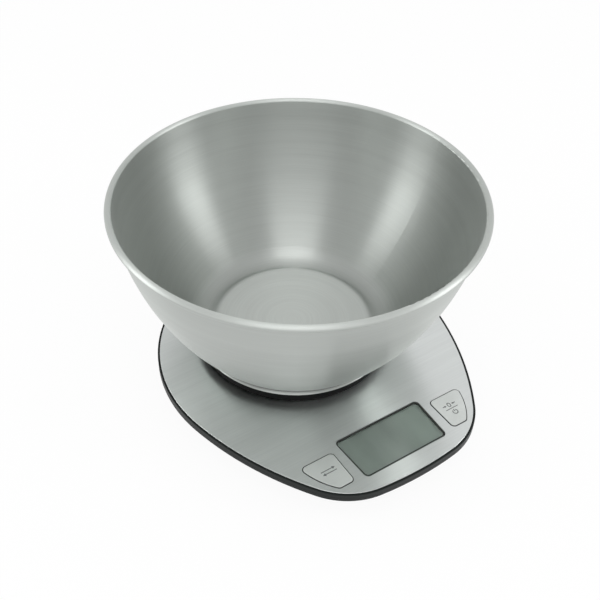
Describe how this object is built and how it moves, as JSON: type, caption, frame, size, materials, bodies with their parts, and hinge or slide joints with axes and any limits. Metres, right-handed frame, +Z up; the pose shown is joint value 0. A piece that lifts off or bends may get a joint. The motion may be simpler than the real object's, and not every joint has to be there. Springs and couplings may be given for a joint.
{
  "type": "digital kitchen scale with bowl",
  "caption": "Digital kitchen scale: shield-shaped steel-topped base with display window and flush buttons, round load platter and a lift-off stainless mixing bowl.",
  "frame": {"origin": "centre of the whole object's footprint box, on the table surface under the feet", "axes": "+Z up; -Y towards the display and the user; +X to the user's right"},
  "size_m": [0.22, 0.2397, 0.1308],
  "materials": {
    "bowl_steel": "circumferentially brushed satin stainless steel",
    "cover_steel": "fine straight brushed stainless steel",
    "button_silver": "satin silver lacquer on moulded plastic",
    "black_abs": "fine textured black ABS",
    "black_rubber": "matt soft black elastomer",
    "window_acrylic": "clear polished acrylic",
    "lcd_glass": "grey-green reflective liquid crystal panel",
    "zinc_steel": "bright zinc plate",
    "cell_aluminium": "milled aluminium",
    "gauge_film": "white silicone over foil gauges",
    "board_green": "green solder mask",
    "blob_epoxy": "black potting epoxy",
    "switch_plastic": "black nylon",
    "battery_jacket": "plain printed steel jacket",
    "contact_nickel": "bright nickel plate",
    "wire_red": "soft PVC insulation"
  },
  "bodies": {
    "base": {"load_cell_beam": "cell_aluminium", "strain_gauges": "gauge_film", "cell_plate": "zinc_steel", "cell_screws": "zinc_steel", "cover_plate": "cover_steel", "upper_housing": "black_abs", "lower_housing": "black_abs", "housing_screws": "zinc_steel", "rubber_feet": "black_rubber", "display_window": "window_acrylic", "lcd_panel": "lcd_glass", "lcd_holder": "black_abs", "elastomer_strips": "black_rubber", "circuit_board": "board_green", "board_screws": "zinc_steel", "controller_blob": "blob_epoxy", "switch_bodies": "switch_plastic", "batteries": "battery_jacket", "battery_contacts": "contact_nickel", "load_cell_wires": "wire_red", "battery_wires": "wire_red"},
    "platter": {"platter": "black_abs", "grip_ring": "black_rubber", "platter_carrier": "zinc_steel", "carrier_screws": "zinc_steel", "load_spacer": "cell_aluminium", "load_screws": "zinc_steel"},
    "bowl": {"bowl": "bowl_steel", "bowl_foot_ring": "bowl_steel"},
    "button_left": {"button_left": "button_silver", "switch_plunger_left": "switch_plastic"},
    "button_right": {"button_right": "button_silver", "switch_plunger_right": "switch_plastic"},
    "battery_door": {"battery_door": "black_abs"}
  },
  "joints": [
    {"name": "platter_press", "type": "slide", "parent": "base", "child": "platter", "axis": [0, 0, -1], "range_m": [0, 0.0006], "stiffness_N_per_m": 30000, "deforming": ["load_cell_beam"]},
    {"name": "bowl_lift", "type": "slide", "parent": "platter", "child": "bowl", "axis": [0, 0, 1], "range_m": [0, 0.06]},
    {"name": "button_left_press", "type": "slide", "parent": "base", "child": "button_left", "axis": [0, 0, -1], "range_m": [0, 0.0006], "stiffness_N_per_m": 2500},
    {"name": "button_right_press", "type": "slide", "parent": "base", "child": "button_right", "axis": [0, 0, -1], "range_m": [0, 0.0006], "stiffness_N_per_m": 2500},
    {"name": "door_slide", "type": "slide", "parent": "base", "child": "battery_door", "axis": [0, 1, 0], "range_m": [0, 0.036]}
  ]
}
